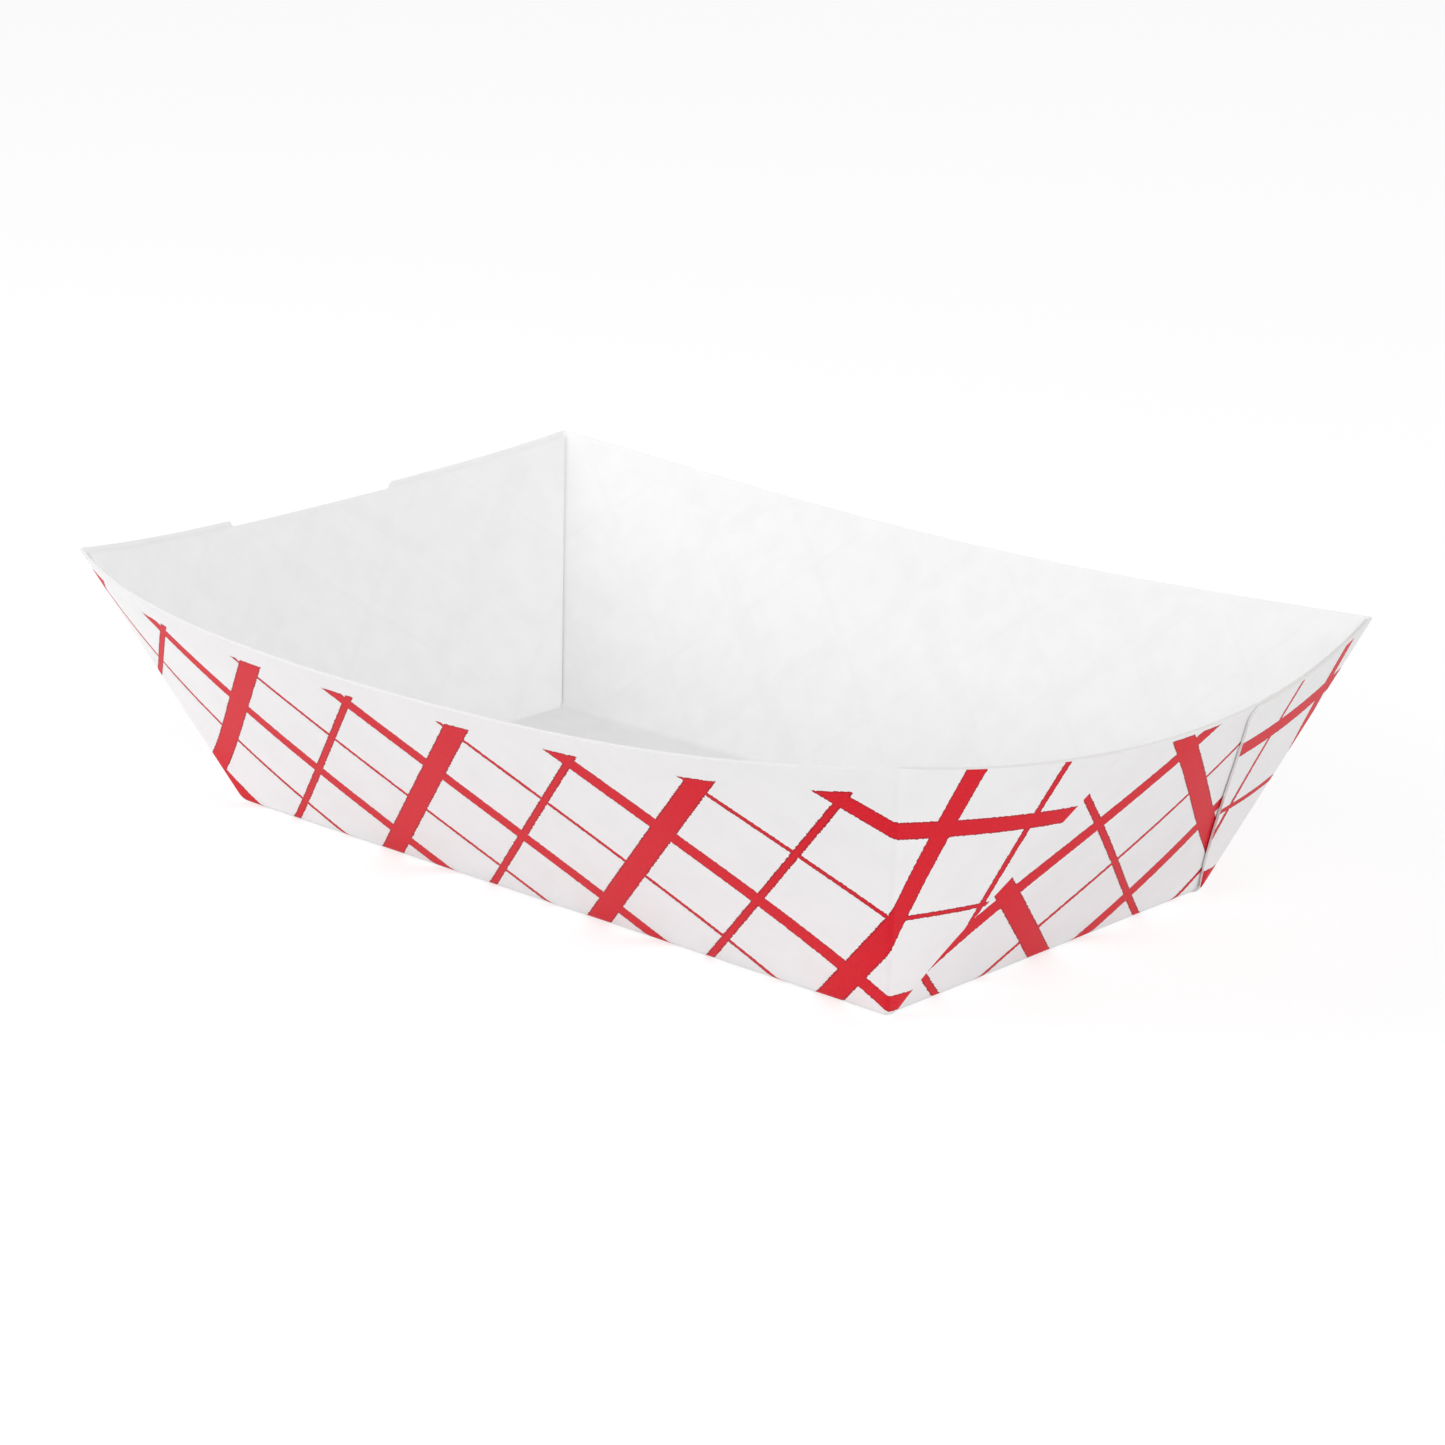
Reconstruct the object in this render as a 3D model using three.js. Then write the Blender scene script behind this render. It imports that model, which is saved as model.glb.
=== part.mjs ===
// Paper food tray: one folded sheet of white paperboard, printed on its outside.
// Millimetres, +Z up, X along the tray. The origin is the centre of the base's underside.
// Two long side walls wrap round the four corners as triangular flaps, glued outside the two end walls.

import * as THREE from 'three';
import { mergeVertices } from 'three/addons/utils/BufferGeometryUtils.js';

// Board
const boardThickness = 0.5;
const baseFoldRadius = 3;
const cornerFoldRadius = 2.5;

// Base, measured between its folds
const baseLength = 169.5;
const baseWidth = 88;

// Rim, measured from corner to corner
const rimLength = 210;
const rimWidth = 131.5;
const rimHeight = 53;

// How far each wall's rim bows outward at its middle, and sinks below its corners
const frontBow = 11.4;
const backBow = 7.7;
const endBow = 9.2;
const sideDip = 6.7;
const endDip = 5.2;

// The front wall bows a little more on its left, and the sheet's spring lifts two opposite corners of the rim
const frontBowLean = -0.11;
const rimTwist = 0.9;

// Share of extra fullness of a bow or a dip towards its ends: 0 is a plain parabola
const sideBowFullness = 0.85;
const endBowFullness = -0.15;
const dipFullness = 0.13;

// Flaps: their reach along the end wall's rim, their rounded tip and their width at the base corner
const flapReach = 46;
const flapTipRadius = 7;
const flapFootWidth = 1.5;

// The end walls' rims lie below the flaps' rims
const endRimDrop = 1;

// Surface steps along and up the sheet
const sideColumns = 22;
const middleColumns = 8;
const flapColumns = 6;
const cornerColumns = 4;
const foldRows = 3;
const wallRows = 4;
const tipRows = 4;
const weldDistance = 1e-4;

const up = new THREE.Vector3(0, 0, 1);

const halfBaseLength = baseLength / 2;
const halfBaseWidth = baseWidth / 2;
const halfRimLength = rimLength / 2;
const halfRimWidth = rimWidth / 2;

// A wall is a ruled sheet between its straight fold and its curved rim. Each runs anticlockwise seen from above.
function sideWall(out, along, bow, lean) {
  return {
    out: new THREE.Vector3(...out),
    along: new THREE.Vector3(...along),
    foot: halfBaseWidth,
    rim: halfRimWidth,
    halfFoot: halfBaseLength,
    halfRim: halfRimLength,
    bow,
    lean,
    fullness: sideBowFullness,
    dip: sideDip,
    twist: rimTwist,
  };
}

function endWall(out, along) {
  return {
    out: new THREE.Vector3(...out),
    along: new THREE.Vector3(...along),
    foot: halfBaseLength,
    rim: halfRimLength,
    halfFoot: halfBaseWidth,
    halfRim: halfRimWidth,
    bow: endBow,
    lean: 0,
    fullness: endBowFullness,
    dip: endDip,
    twist: -rimTwist,
  };
}

const frontWall = sideWall([0, -1, 0], [1, 0, 0], frontBow, frontBowLean);
const rightWall = endWall([1, 0, 0], [0, 1, 0]);
const backWall = sideWall([0, 1, 0], [-1, 0, 0], backBow, 0);
const leftWall = endWall([-1, 0, 0], [0, -1, 0]);

// Curve that is 0 at a wall's ends and 1 at its middle; s runs from -1 to 1 along the wall
function swell(s, fullness) {
  const parabola = 1 - s * s;
  return parabola * (1 + fullness * (1 - parabola));
}

function halfLengthAt(wall, w) {
  return THREE.MathUtils.lerp(wall.halfFoot, wall.halfRim, w);
}

// Point of a wall's outer face, with w from 0 at the fold to 1 at the rim, set inward by inset
function wallPoint(wall, s, w, inset = 0) {
  const bow = wall.bow * swell(s, wall.fullness) * (1 + wall.lean * s);
  const outward = THREE.MathUtils.lerp(wall.foot, wall.rim + bow, w);
  const height = (rimHeight - wall.dip * swell(s, dipFullness) + wall.twist * s) * w;
  return new THREE.Vector3()
    .addScaledVector(wall.along, s * halfLengthAt(wall, w))
    .addScaledVector(wall.out, outward - inset)
    .addScaledVector(up, height);
}

function bezier(start, control, end, t) {
  const first = start.clone().lerp(control, t);
  const second = control.clone().lerp(end, t);
  return first.lerp(second, t);
}

const slantHeight = Math.hypot(rimHeight, halfRimWidth - halfBaseWidth);
const foldShare = baseFoldRadius / slantHeight;
const tipShare = 1 - flapTipRadius / slantHeight;

// Shares of the slant height at which the rows above the fold lie, closer together round the flaps' tips
function rowShares() {
  const shares = [];
  for (let row = 1; row <= wallRows; row += 1) {
    shares.push(THREE.MathUtils.lerp(foldShare, tipShare, row / wallRows));
  }
  for (let row = 1; row <= tipRows; row += 1) {
    const angle = (row / tipRows) * (Math.PI / 2);
    shares.push(THREE.MathUtils.lerp(tipShare, 1, Math.sin(angle)));
  }
  return shares;
}

// One column of a wall: flat on the base, round the fold, then straight up to topShare of the full height.
// place gives the column's position along the wall, from -1 to 1, at each share of the height.
function wallColumn(wall, place, topShare = 1, inset = 0, sideways = null) {
  const foot = wallPoint(wall, place(0), 0, inset);
  const onBase = wallPoint(wall, place(0), 0, baseFoldRadius);
  if (sideways) onBase.addScaledVector(sideways, -baseFoldRadius);
  const foldEnd = wallPoint(wall, place(foldShare), foldShare, inset);
  const column = [onBase];
  for (let row = 1; row <= foldRows; row += 1) {
    column.push(bezier(onBase, foot, foldEnd, row / foldRows));
  }
  for (const share of rowShares()) {
    const height = share * topShare;
    column.push(wallPoint(wall, place(height), height, inset));
  }
  return column;
}

// Position along a wall at a distance from its corner; end is -1 or 1, and the distance may change with height
function besideCorner(wall, end, distanceAt) {
  return (height) => end * (1 - distanceAt(height) / halfLengthAt(wall, height));
}

// Reach of a corner fold to each side of the corner: it starts from the base folds and sharpens towards the rim
function cornerFoldAt(height) {
  return THREE.MathUtils.lerp(baseFoldRadius, cornerFoldRadius, height);
}

// Width of a flap from its corner fold at a share of the height: a straight edge, then a rounded tip
function flapWidthAt(share) {
  const straight = THREE.MathUtils.lerp(flapFootWidth, flapReach - cornerFoldRadius, share);
  const rise = (share - tipShare) / (1 - tipShare);
  if (rise <= 0) return straight;
  return straight - flapTipRadius * (1 - Math.sqrt(Math.max(0, 1 - rise * rise)));
}

// Places of a flap's columns, from the corner fold to the flap's cut edge
function flapPlaces(wall, end) {
  const places = [];
  for (let step = 0; step <= flapColumns; step += 1) {
    const distanceAt = (share) => cornerFoldAt(share) + flapWidthAt(share) * (step / flapColumns);
    places.push(besideCorner(wall, end, distanceAt));
  }
  return end === 1 ? places.reverse() : places;
}

// Places of the end wall's columns between its two flaps, the flaps' cut edges left out
function middlePlaces(wall) {
  const start = flapPlaces(wall, -1).at(-1);
  const finish = flapPlaces(wall, 1)[0];
  const places = [];
  for (let step = 1; step < middleColumns; step += 1) {
    places.push((share) => THREE.MathUtils.lerp(start(share), finish(share), step / middleColumns));
  }
  return places;
}

// Columns of a side wall from one corner fold to the other
function sideWallColumns(wall) {
  const columns = [];
  for (let step = 0; step <= sideColumns; step += 1) {
    const share = -1 + (2 * step) / sideColumns;
    const place = (height) => share * (1 - cornerFoldAt(height) / halfLengthAt(wall, height));
    columns.push(wallColumn(wall, place));
  }
  return columns;
}

// Columns round the corner from the end of one wall to the start of the next, both ends left out
function cornerBend(wall, next) {
  const before = wallColumn(wall, besideCorner(wall, 1, cornerFoldAt));
  const corner = wallColumn(wall, () => 1, 1, 0, next.out);
  const after = wallColumn(next, besideCorner(next, -1, cornerFoldAt));
  const columns = [];
  for (let step = 1; step < cornerColumns; step += 1) {
    const t = step / cornerColumns;
    columns.push(before.map((point, row) => bezier(point, corner[row], after[row], t)));
  }
  return columns;
}

// Outward normals of a grid of columns, whose first row lies on the base and faces straight down
function gridNormals(columns) {
  const last = columns.length - 1;
  const top = columns[0].length - 1;
  return columns.map((column, index) => column.map((point, row) => {
    if (row === 0) return up.clone().negate();
    const ahead = columns[Math.min(index + 1, last)][row];
    const behind = columns[Math.max(index - 1, 0)][row];
    const above = column[Math.min(row + 1, top)];
    const below = column[row - 1];
    const along = ahead.clone().sub(behind);
    const upward = above.clone().sub(below);
    return along.cross(upward).normalize();
  }));
}

// A sheet of board: its outer grid, and the inner grid one board thickness behind it
function makeSheet(outer) {
  const normals = gridNormals(outer);
  const inner = outer.map((column, index) => column.map(
    (point, row) => point.clone().addScaledVector(normals[index][row], -boardThickness),
  ));
  return { outer, inner };
}

// Side wall with the flap before it, its two corner folds and the flap after it, as one bent sheet
function makeWrap(previous, wall, next) {
  return makeSheet([
    ...flapPlaces(previous, 1).map((place) => wallColumn(previous, place)),
    ...cornerBend(previous, wall),
    ...sideWallColumns(wall),
    ...cornerBend(wall, next),
    ...flapPlaces(next, -1).map((place) => wallColumn(next, place)),
  ]);
}

// The end walls stand inside the flaps, so their outer faces are set in by the flaps' slanted thickness
const endLean = Math.atan2(halfRimLength - halfBaseLength, rimHeight);
const endInset = boardThickness / Math.cos(endLean);
const endTopShare = 1 - endRimDrop / rimHeight;

function makeEndSheet(wall) {
  const places = [...flapPlaces(wall, -1), ...middlePlaces(wall), ...flapPlaces(wall, 1)];
  return makeSheet(places.map((place) => wallColumn(wall, place, endTopShare, endInset)));
}

// A section is one closed outline across the board: up the outer face, over the rim and down the inner face.
// Every section has as many points, so a single layer repeats its rim point.
function makeSection(outer, rim, inner) {
  return [...outer, ...rim, ...inner.slice().reverse()];
}

function wrapSections(wrap) {
  const flapCount = flapColumns + 1;
  const sections = [];
  for (let index = flapCount; index < wrap.outer.length - flapCount; index += 1) {
    const rimPoint = wrap.inner[index].at(-1);
    sections.push(makeSection(wrap.outer[index], [rimPoint, rimPoint], wrap.inner[index]));
  }
  return sections;
}

// Flap and end wall in one section: the two layers are glued, and the end wall's rim lies below the flap's
function gluedSection(wrap, wrapIndex, end, endIndex) {
  const rim = [wrap.inner[wrapIndex].at(-1), end.outer[endIndex].at(-1)];
  return makeSection(wrap.outer[wrapIndex], rim, end.inner[endIndex]);
}

function endSections(wrapBefore, end, wrapAfter) {
  const flapCount = flapColumns + 1;
  const sections = [];
  for (let step = 0; step < flapCount; step += 1) {
    sections.push(gluedSection(wrapBefore, wrapBefore.outer.length - flapCount + step, end, step));
  }
  for (let step = 0; step <= middleColumns; step += 1) {
    const index = flapColumns + step;
    const rimPoint = end.outer[index].at(-1);
    sections.push(makeSection(end.outer[index], [rimPoint, rimPoint], end.inner[index]));
  }
  for (let step = 0; step < flapCount; step += 1) {
    sections.push(gluedSection(wrapAfter, step, end, end.outer.length - flapCount + step));
  }
  return sections;
}

// Closed mesh from the loop of sections, with the base filled in above and below
function toGeometry(sections) {
  const positions = [];
  const triangle = (a, b, c) => {
    if (a.equals(b) || b.equals(c) || c.equals(a)) return;
    for (const point of [a, b, c]) positions.push(point.x, point.y, point.z);
  };
  const underside = new THREE.Vector3(0, 0, 0);
  const floor = new THREE.Vector3(0, 0, boardThickness);
  sections.forEach((section, index) => {
    const next = sections[(index + 1) % sections.length];
    for (let row = 0; row < section.length - 1; row += 1) {
      triangle(section[row], next[row], next[row + 1]);
      triangle(section[row], next[row + 1], section[row + 1]);
    }
    triangle(underside, next[0], section[0]);
    triangle(floor, section.at(-1), next.at(-1));
  });
  const geometry = new THREE.BufferGeometry();
  geometry.setAttribute('position', new THREE.Float32BufferAttribute(positions, 3));
  const welded = mergeVertices(geometry, weldDistance);
  welded.computeVertexNormals();
  return welded;
}

function makeTray() {
  const frontWrap = makeWrap(leftWall, frontWall, rightWall);
  const backWrap = makeWrap(rightWall, backWall, leftWall);
  return toGeometry([
    ...wrapSections(frontWrap),
    ...endSections(frontWrap, makeEndSheet(rightWall), backWrap),
    ...wrapSections(backWrap),
    ...endSections(backWrap, makeEndSheet(leftWall), frontWrap),
  ]);
}

const coatedBoard = new THREE.MeshStandardMaterial({ color: 0xf1efec, roughness: 0.6, metalness: 0 });

const foldedTray = new THREE.Mesh(makeTray(), coatedBoard);
foldedTray.name = 'folded_tray';

const tray = new THREE.Group();
tray.add(foldedTray);

export default tray;
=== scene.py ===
# Paper food tray: one blank of coated paperboard, printed red on its outside,
# folded up and glued at its flaps
import math

import bmesh
import bpy
from mathutils import Matrix, Vector


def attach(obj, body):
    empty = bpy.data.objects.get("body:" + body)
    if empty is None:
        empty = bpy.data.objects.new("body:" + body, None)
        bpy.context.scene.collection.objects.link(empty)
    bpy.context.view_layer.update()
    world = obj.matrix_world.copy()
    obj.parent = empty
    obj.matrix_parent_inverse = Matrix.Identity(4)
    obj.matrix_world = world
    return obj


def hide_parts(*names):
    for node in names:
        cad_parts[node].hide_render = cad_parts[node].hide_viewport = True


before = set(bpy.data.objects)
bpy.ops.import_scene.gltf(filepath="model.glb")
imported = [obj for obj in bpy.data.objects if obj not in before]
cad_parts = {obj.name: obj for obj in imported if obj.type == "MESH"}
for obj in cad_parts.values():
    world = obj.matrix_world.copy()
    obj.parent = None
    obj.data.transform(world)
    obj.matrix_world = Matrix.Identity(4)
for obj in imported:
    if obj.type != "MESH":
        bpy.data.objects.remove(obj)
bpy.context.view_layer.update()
print("frame loaded:", ", ".join(sorted(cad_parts)))

metresPerMm = 0.001
up = Vector((0, 0, 1))


def lerp(start, finish, t):
    return start + (finish - start) * t


def clamp(value):
    return min(max(value, 0), 1)


def bezier(start, control, finish, t):
    return lerp(lerp(start, control, t), lerp(control, finish, t), t)


def addObject(name, data):
    added = bpy.data.objects.new(name, data)
    bpy.context.scene.collection.objects.link(added)
    return added


def pointAlong(direction):
    # The turn that makes a camera or a lamp look along a direction
    return direction.to_track_quat("-Z", "Y").to_euler()


# Camera, at the angle of the photograph
photoView = {
    "azimuth": 43.68,        # degrees round the tray from its front
    "elevation": 16.99,
    "distance": 0.7359,      # metres to the target
    "targetHeight": 0.0265,
    "lens": 96.67,           # millimetres
    "nearest": 0.01,         # metres, from where the camera sees
    "shiftX": 0.0121,        # the photograph was cropped a little off its centre
    "shiftY": -0.0070,
}


def makeCamera():
    azimuth = math.radians(photoView["azimuth"])
    elevation = math.radians(photoView["elevation"])
    back = Vector((math.sin(azimuth) * math.cos(elevation),
                   -math.cos(azimuth) * math.cos(elevation),
                   math.sin(elevation)))
    data = bpy.data.cameras.new("photo_camera")
    data.lens = photoView["lens"]
    data.shift_x = photoView["shiftX"]
    data.shift_y = photoView["shiftY"]
    data.clip_start = photoView["nearest"]
    camera = addObject("photo_camera", data)
    camera.location = up * photoView["targetHeight"] + back * photoView["distance"]
    camera.rotation_euler = pointAlong(-back)
    bpy.context.scene.camera = camera


makeCamera()
print("camera placed")

# The folded sheet, in millimetres
tray = {
    "boardThickness": 0.5,
    "baseLength": 169.5,     # between the folds
    "baseWidth": 88.0,
    "rimLength": 210.0,      # from corner to corner
    "rimWidth": 131.5,
    "rimHeight": 53.0,
    "rimTwist": 0.9,         # lift of two opposite rim corners, and sink of the others
    "baseFold": 1.4,         # reach of the base folds to each side of the crease
    "cornerFold": 0.9,       # reach of the corner folds
    "endGap": 0.75,          # from the sharp corner to the end wall's cut edge inside it
    "glueGap": 0.12,         # between an end wall and the flaps glued over it
    "dipFullness": 0.13,     # above 0, the rim's dip is wider than a parabola
    "standOffSkew": 0.8,     # below 1, the flaps stand off most a little below half height
    "creepFade": 6,          # how soon the print's stretch dies away from a corner
    "sharpAngle": 40,        # degrees between two faces, past which their edge is sharp
}

# The walls: how far the rim bows out in its middle and how that leans to one end, how full the bow is,
# how far the rim dips, how far an end wall's rim stays below its flaps, and the creep: how far the print is
# stretched on the blank, in x and y, towards the corner before the wall and the corner after it
frontShape = {"bow": 11.4, "lean": -0.11, "fullness": 0.85, "dip": 6.7, "creep": ((0, 0), (-1.4, -0.2))}
backShape = {"bow": 7.7, "lean": 0.0, "fullness": 0.85, "dip": 6.7, "creep": ((2.4, 2.4), (0, 0))}
rightShape = {"bow": 9.2, "lean": 0.0, "fullness": -0.15, "dip": 6.1, "rimDrop": 0.15}
leftShape = {"bow": 9.2, "lean": 0.0, "fullness": -0.15, "dip": 5.2, "rimDrop": 1.0}

# The flaps: widths at the foot and along the rim, extra width half way up, radius of the tip,
# how far the middle and the cut edge stand off, and how far the rim sinks towards the tip
flapShapes = {
    "frontRight": {"foot": 1.5, "reach": 48.0, "bulge": 2.0, "tip": 1.0,
                   "belly": 0.1, "lift": 0.05, "sink": 0.0},
    "backRight": {"foot": 0.5, "reach": 48.0, "bulge": -1.8, "tip": 4.5,
                  "belly": 0.3, "lift": 0.15, "sink": 0.5},
    "backLeft": {"foot": 1.5, "reach": 46.2, "bulge": 2.7, "tip": 2.5,
                 "belly": 0.2, "lift": 0.1, "sink": 0.0},
    "frontLeft": {"foot": 1.5, "reach": 44.6, "bulge": 2.7, "tip": 1.0,
                  "belly": 0.2, "lift": 0.1, "sink": 0.0},
}

# How many faces the sheet has along each stretch, and how many triangles a wall is unrolled in
steps = {"side": 100, "end": 64, "flap": 24, "corner": 8, "fold": 6, "wall": 30, "unroll": 80}
weld = {"seam": 1e-3, "sliver": 1e-4}   # mm, within which points are one and an edge is nothing
halfGrid = 0.5                          # half the side of the flat grid that each stretch is bent from

foldShare = tray["baseFold"] / math.hypot(tray["rimHeight"], (tray["rimWidth"] - tray["baseWidth"]) / 2)
foldPart = steps["fold"] / (steps["fold"] + steps["wall"])


def makeWall(shape, out, long):
    # A ruled sheet from its straight crease to its curved rim; walls run anticlockwise seen from above
    across, length = ("Width", "Length") if long else ("Length", "Width")
    wall = dict(shape)
    wall["out"] = Vector(out)
    wall["along"] = up.cross(wall["out"])
    wall["foot"] = tray["base" + across] / 2
    wall["rim"] = tray["rim" + across] / 2
    wall["halfFoot"] = tray["base" + length] / 2
    wall["halfRim"] = tray["rim" + length] / 2
    wall["twist"] = tray["rimTwist"] if long else -tray["rimTwist"]
    wall["flat"] = unroll(wall)
    return wall


def swell(s, fullness):
    # 0 at a wall's ends and 1 at its middle
    parabola = 1 - s * s
    return parabola * (1 + fullness * (1 - parabola))


def halfLengthAt(wall, w):
    return lerp(wall["halfFoot"], wall["halfRim"], w)


def wallPoint(wall, s, w, inset=0.0):
    # s runs from -1 to 1 along the wall, w from 0 at the crease to 1 at the rim
    bow = wall["bow"] * swell(s, wall["fullness"]) * (1 + wall["lean"] * s)
    outward = lerp(wall["foot"], wall["rim"] + bow, w) - inset
    height = (tray["rimHeight"] - wall["dip"] * swell(s, tray["dipFullness"]) + wall["twist"] * s) * w
    return wall["along"] * (s * halfLengthAt(wall, w)) + wall["out"] * outward + up * height


def thirdCorner(a, b, fromA, fromB):
    # The point at two given distances from a and b, to the right of the line from a to b
    span = (b - a).length
    direction = (b - a) / span
    ahead = (span * span + fromA * fromA - fromB * fromB) / (2 * span)
    aside = math.sqrt(max(fromA * fromA - ahead * ahead, 0))
    return a + direction * ahead + Vector((direction.y, -direction.x)) * aside


def unroll(wall):
    # Lays the curved wall flat, one narrow triangle after the other,
    # with its crease along u and its rim at positive v
    count = steps["unroll"]
    feet = [wallPoint(wall, 2 * i / count - 1, 0) for i in range(count + 1)]
    rims = [wallPoint(wall, 2 * i / count - 1, 1) for i in range(count + 1)]
    flatFeet = [Vector((0, 0))]
    flatRims = [Vector((0, (rims[0] - feet[0]).length))]
    for i in range(1, count + 1):
        flatFeet.append(thirdCorner(flatFeet[-1], flatRims[-1], (feet[i] - feet[i - 1]).length,
                                    (feet[i] - rims[i - 1]).length))
        flatRims.append(thirdCorner(flatFeet[-1], flatRims[-1], (rims[i] - feet[i]).length,
                                    (rims[i] - rims[i - 1]).length))
    crease = flatFeet[-1] - flatFeet[0]
    turn = Matrix.Rotation(-math.atan2(crease.y, crease.x), 2)
    middle = (flatFeet[0] + flatFeet[-1]) / 2
    return [(turn @ (a - middle), turn @ (b - middle)) for a, b in zip(flatFeet, flatRims)]


def blankPoint(wall, s, w):
    # Where a wall's point lies on the flat blank, whose middle is the base's middle
    place = (s + 1) / 2 * steps["unroll"]
    index = min(int(place), steps["unroll"] - 1)
    foot = lerp(wall["flat"][index][0], wall["flat"][index + 1][0], place - index)
    rim = lerp(wall["flat"][index][1], wall["flat"][index + 1][1], place - index)
    u, v = lerp(foot, rim, w)
    before, after = wall.get("creep", ((0, 0), (0, 0)))
    creep = Vector(after if s > 0 else before) * abs(s) ** tray["creepFade"]
    return wall["along"].xy * u + wall["out"].xy * (wall["foot"] + v) + creep


def spot(point, flat):
    # A spot of the sheet is five numbers: its place on the folded tray, and its place on the flat blank
    return Vector((*point, *flat))


def wallSpot(wall, s, w, inset=0.0, turn=None):
    flat = blankPoint(wall, s, w)
    return spot(wallPoint(wall, s, w, inset), turn(flat) if turn else flat)


def baseSpot(wall, s, sideways=None):
    # The last flat spot of the base, where the soft fold begins
    place = wallPoint(wall, s, 0, tray["baseFold"])
    if sideways:
        place = place - sideways * tray["baseFold"]
    return spot(place, place.xy)


def columnSpot(wall, placeAt, t, topShare=1.0, inset=0.0, turn=None, sideways=None):
    # t runs up one column of the wall: round the base fold, then straight up; placeAt gives s at each height
    foldEnd = wallSpot(wall, placeAt(foldShare), foldShare, inset, turn)
    if t < foldPart:
        start = baseSpot(wall, placeAt(0), sideways)
        crease = wallSpot(wall, placeAt(0), 0, inset, turn)
        return bezier(start, crease, foldEnd, t / foldPart)
    w = lerp(foldShare, topShare, (t - foldPart) / (1 - foldPart))
    return wallSpot(wall, placeAt(w), w, inset, turn)


def besideCorner(wall, end, distanceAt):
    # Gives s at each height: at an end of -1 or 1 a line that stays distanceAt from that corner,
    # and in between one that keeps its share of the way
    return lambda w: end * (1 - distanceAt(w) / halfLengthAt(wall, w))


def cornerFoldAt(w):
    return lerp(tray["baseFold"], tray["cornerFold"], clamp(w / foldShare))


def endEdgeAt(w):
    return lerp(tray["baseFold"], tray["endGap"], clamp(w / foldShare))


def flapWidthAt(flap, w):
    # Width from the corner fold to the cut edge: narrow at the foot, nearly straight, and rounded
    # at the tip; the 4 makes the bulge its full size half way up
    shape = flap["shape"]
    reach = lerp(shape["foot"], shape["reach"], w) + 4 * shape["bulge"] * w * (1 - w)
    tipDepth = shape["tip"] / tray["rimHeight"]
    rise = clamp((w - 1 + tipDepth) / tipDepth)
    reach -= shape["tip"] * (1 - math.sqrt(1 - rise * rise))
    return max(reach - cornerFoldAt(w), 0) * clamp(w / foldShare)


def makeFlap(name, wall, end, side):
    # The flap lies on an end wall, but it belongs to the side wall's part of the blank,
    # turned about the corner
    own = [blankPoint(wall, end, w) for w in (0, 1)]
    joined = [blankPoint(side, -end, w) for w in (0, 1)]
    angle = math.atan2(*(joined[1] - joined[0]).yx) - math.atan2(*(own[1] - own[0]).yx)
    rotation = Matrix.Rotation(angle, 2)

    def turn(flat):
        return rotation @ (flat - own[0]) + joined[0]

    return {"shape": flapShapes[name], "wall": wall, "end": end, "side": side, "turn": turn}


def flapSpot(flap, share, t):
    # share runs from the corner fold to the cut edge
    wall = flap["wall"]
    place = besideCorner(wall, flap["end"], lambda w: cornerFoldAt(w) + share * flapWidthAt(flap, w))
    shape = flap["shape"]
    topShare = 1 - shape["sink"] * share ** 2 / tray["rimHeight"]
    glued = columnSpot(wall, place, t, topShare, turn=flap["turn"])
    standOff = shape["belly"] * math.sin(math.pi * share) + shape["lift"] * share ** 2
    standOff *= max(math.sin(math.pi * t ** tray["standOffSkew"]), 0)
    return glued + spot(wall["out"] * standOff, (0, 0))


def cornerSpot(flap, share, t):
    # share runs from the side wall to the flap
    side, end = flap["side"], -flap["end"]
    before = columnSpot(side, besideCorner(side, end, cornerFoldAt), t)
    corner = columnSpot(side, lambda w: end, t, sideways=flap["wall"]["out"])
    return bezier(before, corner, flapSpot(flap, 0, t), share)


def wallSheetSpot(wall, edgeAt, a, t, topShare=1.0, inset=0.0):
    # a runs along the wall from 0 to 1, between two edges that lie edgeAt from the corners
    return columnSpot(wall, besideCorner(wall, 2 * a - 1, edgeAt), t, topShare, inset)


def bendGrid(bm, columns, rows, spotAt):
    # A flat grid is bent into its place, and keeps its place on the blank in a layer
    blankLayer = bm.verts.layers.float_vector["blank"]
    made = bmesh.ops.create_grid(bm, x_segments=columns, y_segments=rows, size=halfGrid)
    for vert in made["verts"]:
        values = spotAt(vert.co.x + halfGrid, vert.co.y + halfGrid)
        vert.co = Vector(values[:3])
        vert[blankLayer] = Vector((values[3], values[4], 0))


def baseGridSpot(a, b):
    # Seen from below, so that its faces point down
    x = (1 - 2 * a) * (tray["baseLength"] / 2 - tray["baseFold"])
    y = (2 * b - 1) * (tray["baseWidth"] / 2 - tray["baseFold"])
    return spot((x, y, 0), (x, y))


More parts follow.
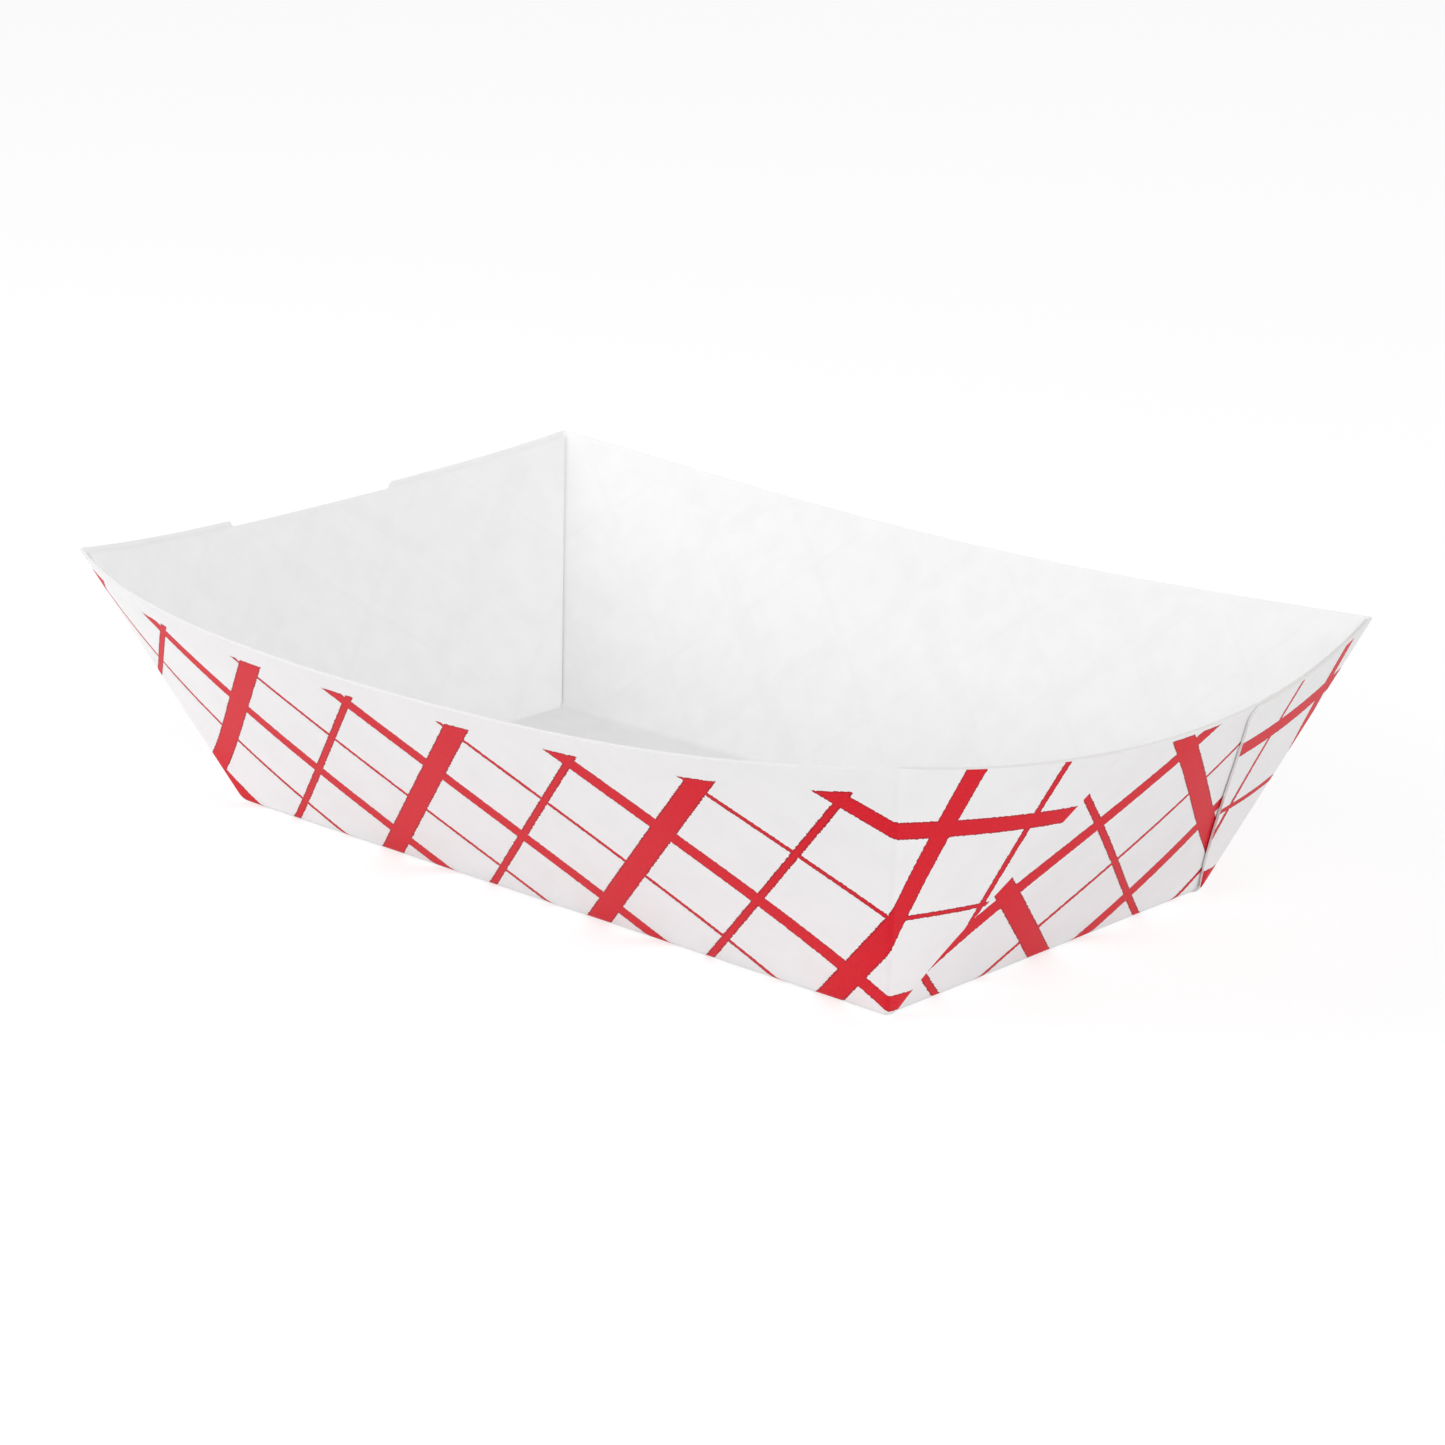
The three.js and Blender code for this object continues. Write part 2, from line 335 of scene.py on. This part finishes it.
def makeSheet():
    front = makeWall(frontShape, (0, -1, 0), True)
    right = makeWall(rightShape, (1, 0, 0), False)
    back = makeWall(backShape, (0, 1, 0), True)
    left = makeWall(leftShape, (-1, 0, 0), False)
    flaps = [
        makeFlap("frontRight", right, -1, front),
        makeFlap("backRight", right, 1, back),
        makeFlap("backLeft", left, -1, back),
        makeFlap("frontLeft", left, 1, front),
    ]
    rows = steps["fold"] + steps["wall"]
    bm = bmesh.new()
    bm.verts.layers.float_vector.new("blank")
    bendGrid(bm, steps["side"], steps["end"], baseGridSpot)
    for wall in (front, back):
        bendGrid(bm, steps["side"], rows, lambda a, t: wallSheetSpot(wall, cornerFoldAt, a, t))
    for wall in (right, left):
        lean = math.atan2(wall["rim"] - wall["foot"], tray["rimHeight"])
        inset = (tray["boardThickness"] + tray["glueGap"]) / math.cos(lean)
        topShare = 1 - wall["rimDrop"] / tray["rimHeight"]
        bendGrid(bm, steps["end"], rows, lambda a, t: wallSheetSpot(wall, endEdgeAt, a, t, topShare, inset))
    for flap in flaps:
        # An end of -1 has the side wall before it, so the grid runs from the wall to the flap
        forward = flap["end"] == -1
        bendGrid(bm, steps["corner"], rows, lambda a, t: cornerSpot(flap, a if forward else 1 - a, t))
        bendGrid(bm, steps["flap"], rows, lambda a, t: flapSpot(flap, a if forward else 1 - a, t))
    bmesh.ops.remove_doubles(bm, verts=bm.verts, dist=weld["seam"])
    bmesh.ops.dissolve_degenerate(bm, edges=bm.edges, dist=weld["sliver"])
    return bm


def makeTrayObject(materials):
    bm = makeSheet()
    blankLayer = bm.verts.layers.float_vector["blank"]
    uvLayer = bm.loops.layers.uv.new("blank")
    for face in bm.faces:
        face.smooth = True
        for loop in face.loops:
            loop[uvLayer].uv = loop.vert[blankLayer].xy
    bmesh.ops.scale(bm, vec=(metresPerMm,) * 3, verts=bm.verts)
    mesh = bpy.data.meshes.new("folded_card")
    bm.to_mesh(mesh)
    bm.free()
    sheet = addObject("folded_card", mesh)
    for material in materials:
        mesh.materials.append(material)
    board = sheet.modifiers.new("board", "SOLIDIFY")
    board.thickness = tray["boardThickness"] * metresPerMm
    board.offset = -1                # the thickness goes inwards from the printed side
    board.use_even_offset = True
    board.material_offset = 1        # the second material on the inside, the third on the cut edge
    board.material_offset_rim = 2
    depsgraph = bpy.context.evaluated_depsgraph_get()
    thick = bpy.data.meshes.new_from_object(sheet.evaluated_get(depsgraph))
    sheet.modifiers.clear()
    sheet.data = thick
    thick.name = "folded_card"
    thick.set_sharp_from_angle(angle=math.radians(tray["sharpAngle"]))
    return sheet


# Materials
def srgb(code):
    # A hex colour turned to the linear values that the shaders take
    channels = [int(code[i:i + 2], 16) / 255 for i in (1, 3, 5)]
    linear = [c / 12.92 if c <= 0.04045 else ((c + 0.055) / 1.055) ** 2.4 for c in channels]
    return (*linear, 1.0)


def addNode(tree, kind, settings=None, inputs=None):
    # One node, with its settings, and its inputs given as values or as the sockets that feed them
    node = tree.nodes.new("ShaderNode" + kind)
    for name, value in (settings or {}).items():
        setattr(node, name, value)
    for name, value in (inputs or {}).items():
        if isinstance(value, bpy.types.NodeSocket):
            tree.links.new(value, node.inputs[name])
        else:
            node.inputs[name].default_value = value
    return node


def newMaterial(name):
    material = bpy.data.materials.new(name)
    material.use_nodes = True
    material.node_tree.nodes.clear()
    return material, material.node_tree


# The print, in millimetres on the flat blank: two crossed sets of lines, wide and thin by turns
checkPrint = {
    "angle": 45.276,         # degrees from the blank's length
    "period": 39.52,         # from one wide line to the next
    "wideRising": {"at": 19.09, "width": 4.4},
    "thinRising": {"at": -0.67, "width": 1.5},
    "wideFalling": {"at": 25.34, "width": 3.8},
    "thinFalling": {"at": 5.58, "width": 1.15},
    "halfLength": 139.4,     # the print's own limits on the blank
    "halfWidth": 96.75,
    "edgeGrain": 0.5,        # size of the unevenness along a printed edge
    "edgeDepth": 0.24,
    "edgeSoftness": 0.06,
    "squeeze": 0.4,          # width of the darker rim where the plate squeezed the ink out
}
grainRange = (0.25, 0.75)    # between which noise turns into the unevenness of a printed edge
patchRange = (0.3, 0.7)      # and into soft patches of a colour


def printMask(tree):
    # 1 where the ink is and 0 on bare board, and with it 1 along the printed edges, fading inwards
    flat = addNode(tree, "UVMap", {"uv_map": "blank"}).outputs["UV"]
    angle = math.radians(checkPrint["angle"])
    rising = addNode(tree, "VectorMath", {"operation": "DOT_PRODUCT"},
                     {0: flat, 1: (math.sin(angle), math.cos(angle), 0)}).outputs["Value"]
    falling = addNode(tree, "VectorMath", {"operation": "DOT_PRODUCT"},
                      {0: flat, 1: (-math.cos(angle), math.sin(angle), 0)}).outputs["Value"]
    grain = addNode(tree, "TexNoise", {"noise_dimensions": "2D"},
                    {"Vector": flat, "Scale": 1 / checkPrint["edgeGrain"], "Detail": 2.0}).outputs["Fac"]
    wobble = addNode(tree, "MapRange", None,
                     {"Value": grain, "From Min": grainRange[0], "From Max": grainRange[1],
                      "To Min": -checkPrint["edgeDepth"] / 2,
                      "To Max": checkPrint["edgeDepth"] / 2}).outputs["Result"]

    def band(coordinate, line):
        # How deep inside the line, counted from its edge
        shifted = addNode(tree, "Math", {"operation": "SUBTRACT"}, {0: coordinate, 1: line["at"]}).outputs[0]
        away = addNode(tree, "Math", {"operation": "PINGPONG"},
                       {0: shifted, 1: checkPrint["period"] / 2}).outputs[0]
        return addNode(tree, "Math", {"operation": "SUBTRACT"}, {0: line["width"] / 2, 1: away}).outputs[0]

    depth = None
    for coordinate, line in ((rising, "wideRising"), (rising, "thinRising"),
                             (falling, "wideFalling"), (falling, "thinFalling")):
        inside = band(coordinate, checkPrint[line])
        if depth is None:
            depth = inside
        else:
            depth = addNode(tree, "Math", {"operation": "MAXIMUM"}, {0: depth, 1: inside}).outputs[0]
    axes = addNode(tree, "SeparateXYZ", None, {0: flat})
    for axis, limit in (("X", "halfLength"), ("Y", "halfWidth")):
        size = addNode(tree, "Math", {"operation": "ABSOLUTE"}, {0: axes.outputs[axis]}).outputs[0]
        margin = addNode(tree, "Math", {"operation": "SUBTRACT"}, {0: checkPrint[limit], 1: size}).outputs[0]
        depth = addNode(tree, "Math", {"operation": "MINIMUM"}, {0: depth, 1: margin}).outputs[0]
    rough = addNode(tree, "Math", {"operation": "ADD"}, {0: depth, 1: wobble}).outputs[0]
    soft = checkPrint["edgeSoftness"] / 2
    ink = addNode(tree, "MapRange", {"interpolation_type": "SMOOTHSTEP"},
                  {"Value": rough, "From Min": -soft, "From Max": soft}).outputs["Result"]
    rim = addNode(tree, "MapRange", {"interpolation_type": "SMOOTHSTEP"},
                  {"Value": rough, "From Min": 0.0, "From Max": checkPrint["squeeze"],
                   "To Min": 1.0, "To Max": 0.0}).outputs["Result"]
    return ink, rim


# What all three surfaces of the board share
boardSurface = {
    "fibre": 0.6,            # mm, size of the fibre grain, coarser than real fibres so that it shows
    "relief": 0.02,          # mm, its depth
    "ior": 1.5,
    "sheen": 0.15,           # specular level: low, because the board hardly shines
}


def finishMaterial(tree, colour, board):
    # The colour, with a fine fibre grain in the surface
    place = addNode(tree, "TexCoord").outputs["Object"]
    fibres = addNode(tree, "TexNoise", None,
                     {"Vector": place, "Scale": 1 / (boardSurface["fibre"] * metresPerMm),
                      "Detail": 4.0, "Roughness": 0.6}).outputs["Fac"]
    normal = addNode(tree, "Bump", None,
                     {"Height": fibres, "Strength": board["bump"],
                      "Distance": boardSurface["relief"] * metresPerMm}).outputs["Normal"]
    shader = addNode(tree, "BsdfPrincipled", None,
                     {"Base Color": colour, "Roughness": board["roughness"], "IOR": boardSurface["ior"],
                      "Specular IOR Level": boardSurface["sheen"], "Normal": normal})
    addNode(tree, "OutputMaterial", None, {"Surface": shader.outputs[0]})


def softPatches(tree, size, detail, roughness):
    # From 0 to 1 in soft patches of this size in millimetres, laid out on the flat blank
    flat = addNode(tree, "UVMap", {"uv_map": "blank"}).outputs["UV"]
    noise = addNode(tree, "TexNoise", {"noise_dimensions": "2D"},
                    {"Vector": flat, "Scale": 1 / size, "Detail": detail, "Roughness": roughness})
    return addNode(tree, "MapRange", None,
                   {"Value": noise.outputs["Fac"], "From Min": patchRange[0],
                    "From Max": patchRange[1]}).outputs["Result"]


def cloudyWhite(tree, board):
    # Pulp is never spread quite evenly, so the white comes out in soft clouds
    return addNode(tree, "MixRGB", None,
                   {"Fac": softPatches(tree, board["clouds"], 4.0, 0.55),
                    "Color1": srgb(board["shade"]), "Color2": srgb(board["white"])}).outputs[0]


# Clay coated paperboard, printed from a soft plate: a smooth white with a faint sheen, and opaque red ink
# that is darker along its slightly ragged edges
coatedBoard = {
    "white": "#F5F5F6",
    "shade": "#F2F2F3",
    "clouds": 9.0,           # mm
    "red": "#E3122A",
    "darkRed": "#D00E22",
    "edgeRed": "#960D1A",
    "inkGrain": 0.4,         # mm
    "roughness": 0.5,
    "bump": 0.25,
}


def makePrintedBoard():
    material, tree = newMaterial("coated_paperboard_flexo_printed")
    ink, rim = printMask(tree)
    red = addNode(tree, "MixRGB", None,
                  {"Fac": softPatches(tree, coatedBoard["inkGrain"], 3.0, 0.5),
                   "Color1": srgb(coatedBoard["darkRed"]), "Color2": srgb(coatedBoard["red"])}).outputs[0]
    red = addNode(tree, "MixRGB", None,
                  {"Fac": rim, "Color1": red, "Color2": srgb(coatedBoard["edgeRed"])}).outputs[0]
    white = cloudyWhite(tree, coatedBoard)
    colour = addNode(tree, "MixRGB", None, {"Fac": ink, "Color1": white, "Color2": red}).outputs[0]
    finishMaterial(tree, colour, coatedBoard)
    return material


# The back of the board: bleached and uncoated, so it is duller, and the print shows through as a faint grey
plainBoard = {
    "white": "#F8F8F8",
    "shade": "#F5F5F5",
    "ghost": "#000000",
    "showThrough": 0.01,     # how much of the ghost there is where ink lies behind
    "clouds": 6.0,           # mm
    "roughness": 0.65,
    "bump": 0.35,
}


def makePlainBoard():
    material, tree = newMaterial("bleached_paperboard_uncoated")
    ghost = addNode(tree, "MapRange", None,
                    {"Value": printMask(tree)[0], "To Max": plainBoard["showThrough"]}).outputs["Result"]
    colour = addNode(tree, "MixRGB", None, {"Fac": ghost, "Color1": cloudyWhite(tree, plainBoard),
                                            "Color2": srgb(plainBoard["ghost"])}).outputs[0]
    finishMaterial(tree, colour, plainBoard)
    return material


# The die cut edge: bare fibres of the board's core, rough and hardly off white
cutEdge = {
    "core": "#F7F7F6",
    "fibre": "#EBE8E6",
    "fibreSize": 0.4,        # mm
    "roughness": 0.85,
    "bump": 0.5,
}


def makeCutEdge():
    material, tree = newMaterial("paperboard_die_cut_edge")
    place = addNode(tree, "TexCoord").outputs["Object"]
    fibres = addNode(tree, "TexNoise", None,
                     {"Vector": place, "Scale": 1 / (cutEdge["fibreSize"] * metresPerMm),
                      "Detail": 5.0}).outputs["Fac"]
    colour = addNode(tree, "MixRGB", None, {"Fac": fibres, "Color1": srgb(cutEdge["core"]),
                                            "Color2": srgb(cutEdge["fibre"])}).outputs[0]
    finishMaterial(tree, colour, cutEdge)
    return material


traySheet = makeTrayObject([makePrintedBoard(), makePlainBoard(), makeCutEdge()])
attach(traySheet, "root")
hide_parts("folded_tray")
print("tray folded:", len(traySheet.data.polygons), "faces")

# Pale floor and soft studio light
studio = {
    "floorSize": 6.0,        # metres
    "floorWhite": "#F5F5F5",
    "floorSeen": "#A8A8A8",  # what the camera sees of the floor is this, and a glow that lifts it to white
    "floorGlow": 0.7,
    "white": "#FFFFFF",      # of the glow and of the room
    "horizon": 0.96,         # strength of the white room at the horizon and overhead
    "overhead": 0.46,
    "lampTarget": (0, 0, 0.02),
}

# Metres and watts: the key in front on the left, and the fill further away on the right
lamps = {
    "key_softbox": {"place": (-0.5, -0.7, 0.4), "size": 0.5, "power": 2.8},
    "fill_softbox": {"place": (1.6, -0.4, 0.8), "size": 1.0, "power": 7.6},
}


def seenDirectly(tree, rays):
    # 1 for the named kinds of ray, which show the background itself, and 0 for the rest,
    # which only light the tray
    path = addNode(tree, "LightPath")
    seen = path.outputs[rays[0]]
    for ray in rays[1:]:
        seen = addNode(tree, "Math", {"operation": "MAXIMUM"}, {0: seen, 1: path.outputs[ray]}).outputs[0]
    return seen


def makeFloor():
    bm = bmesh.new()
    bmesh.ops.create_grid(bm, x_segments=1, y_segments=1, size=studio["floorSize"] / 2)
    mesh = bpy.data.meshes.new("studio_floor")
    bm.to_mesh(mesh)
    bm.free()
    floor = addObject("studio_floor", mesh)
    material, tree = newMaterial("white_studio_floor")
    seen = seenDirectly(tree, ("Is Camera Ray", "Is Glossy Ray", "Is Transmission Ray"))
    matt = addNode(tree, "BsdfDiffuse", None, {"Color": srgb(studio["floorWhite"])})
    shadowed = addNode(tree, "BsdfDiffuse", None, {"Color": srgb(studio["floorSeen"])})
    glow = addNode(tree, "Emission", None, {"Color": srgb(studio["white"]), "Strength": studio["floorGlow"]})
    lifted = addNode(tree, "AddShader", None, {0: shadowed.outputs[0], 1: glow.outputs[0]})
    shown = addNode(tree, "MixShader", None, {"Fac": seen, 1: matt.outputs[0], 2: lifted.outputs[0]})
    addNode(tree, "OutputMaterial", None, {"Surface": shown.outputs[0]})
    mesh.materials.append(material)


def makeLamp(name, values):
    data = bpy.data.lights.new(name, "AREA")
    data.shape = "SQUARE"
    data.size = values["size"]
    data.energy = values["power"]
    lamp = addObject(name, data)
    lamp.location = values["place"]
    lamp.rotation_euler = pointAlong(Vector(studio["lampTarget"]) - Vector(values["place"]))


def makeWorld():
    world = bpy.data.worlds.new("soft_white_room")
    bpy.context.scene.world = world
    world.use_nodes = True
    tree = world.node_tree
    tree.nodes.clear()
    seen = seenDirectly(tree, ("Is Camera Ray", "Is Transmission Ray"))
    direction = addNode(tree, "TexCoord").outputs["Generated"]
    height = addNode(tree, "SeparateXYZ", None, {0: direction}).outputs["Z"]
    room = addNode(tree, "MapRange", None, {"Value": height, "To Min": studio["horizon"],
                                            "To Max": studio["overhead"]}).outputs["Result"]
    strength = addNode(tree, "MapRange", None, {"Value": seen, "To Min": room, "To Max": 1.0})
    glow = addNode(tree, "Background", None, {"Color": srgb(studio["white"]),
                                              "Strength": strength.outputs["Result"]})
    addNode(tree, "OutputWorld", None, {"Surface": glow.outputs[0]})


makeFloor()
makeWorld()
for lampName, lampValues in lamps.items():
    makeLamp(lampName, lampValues)
bpy.context.scene.view_settings.view_transform = "Standard"
print("studio lit")
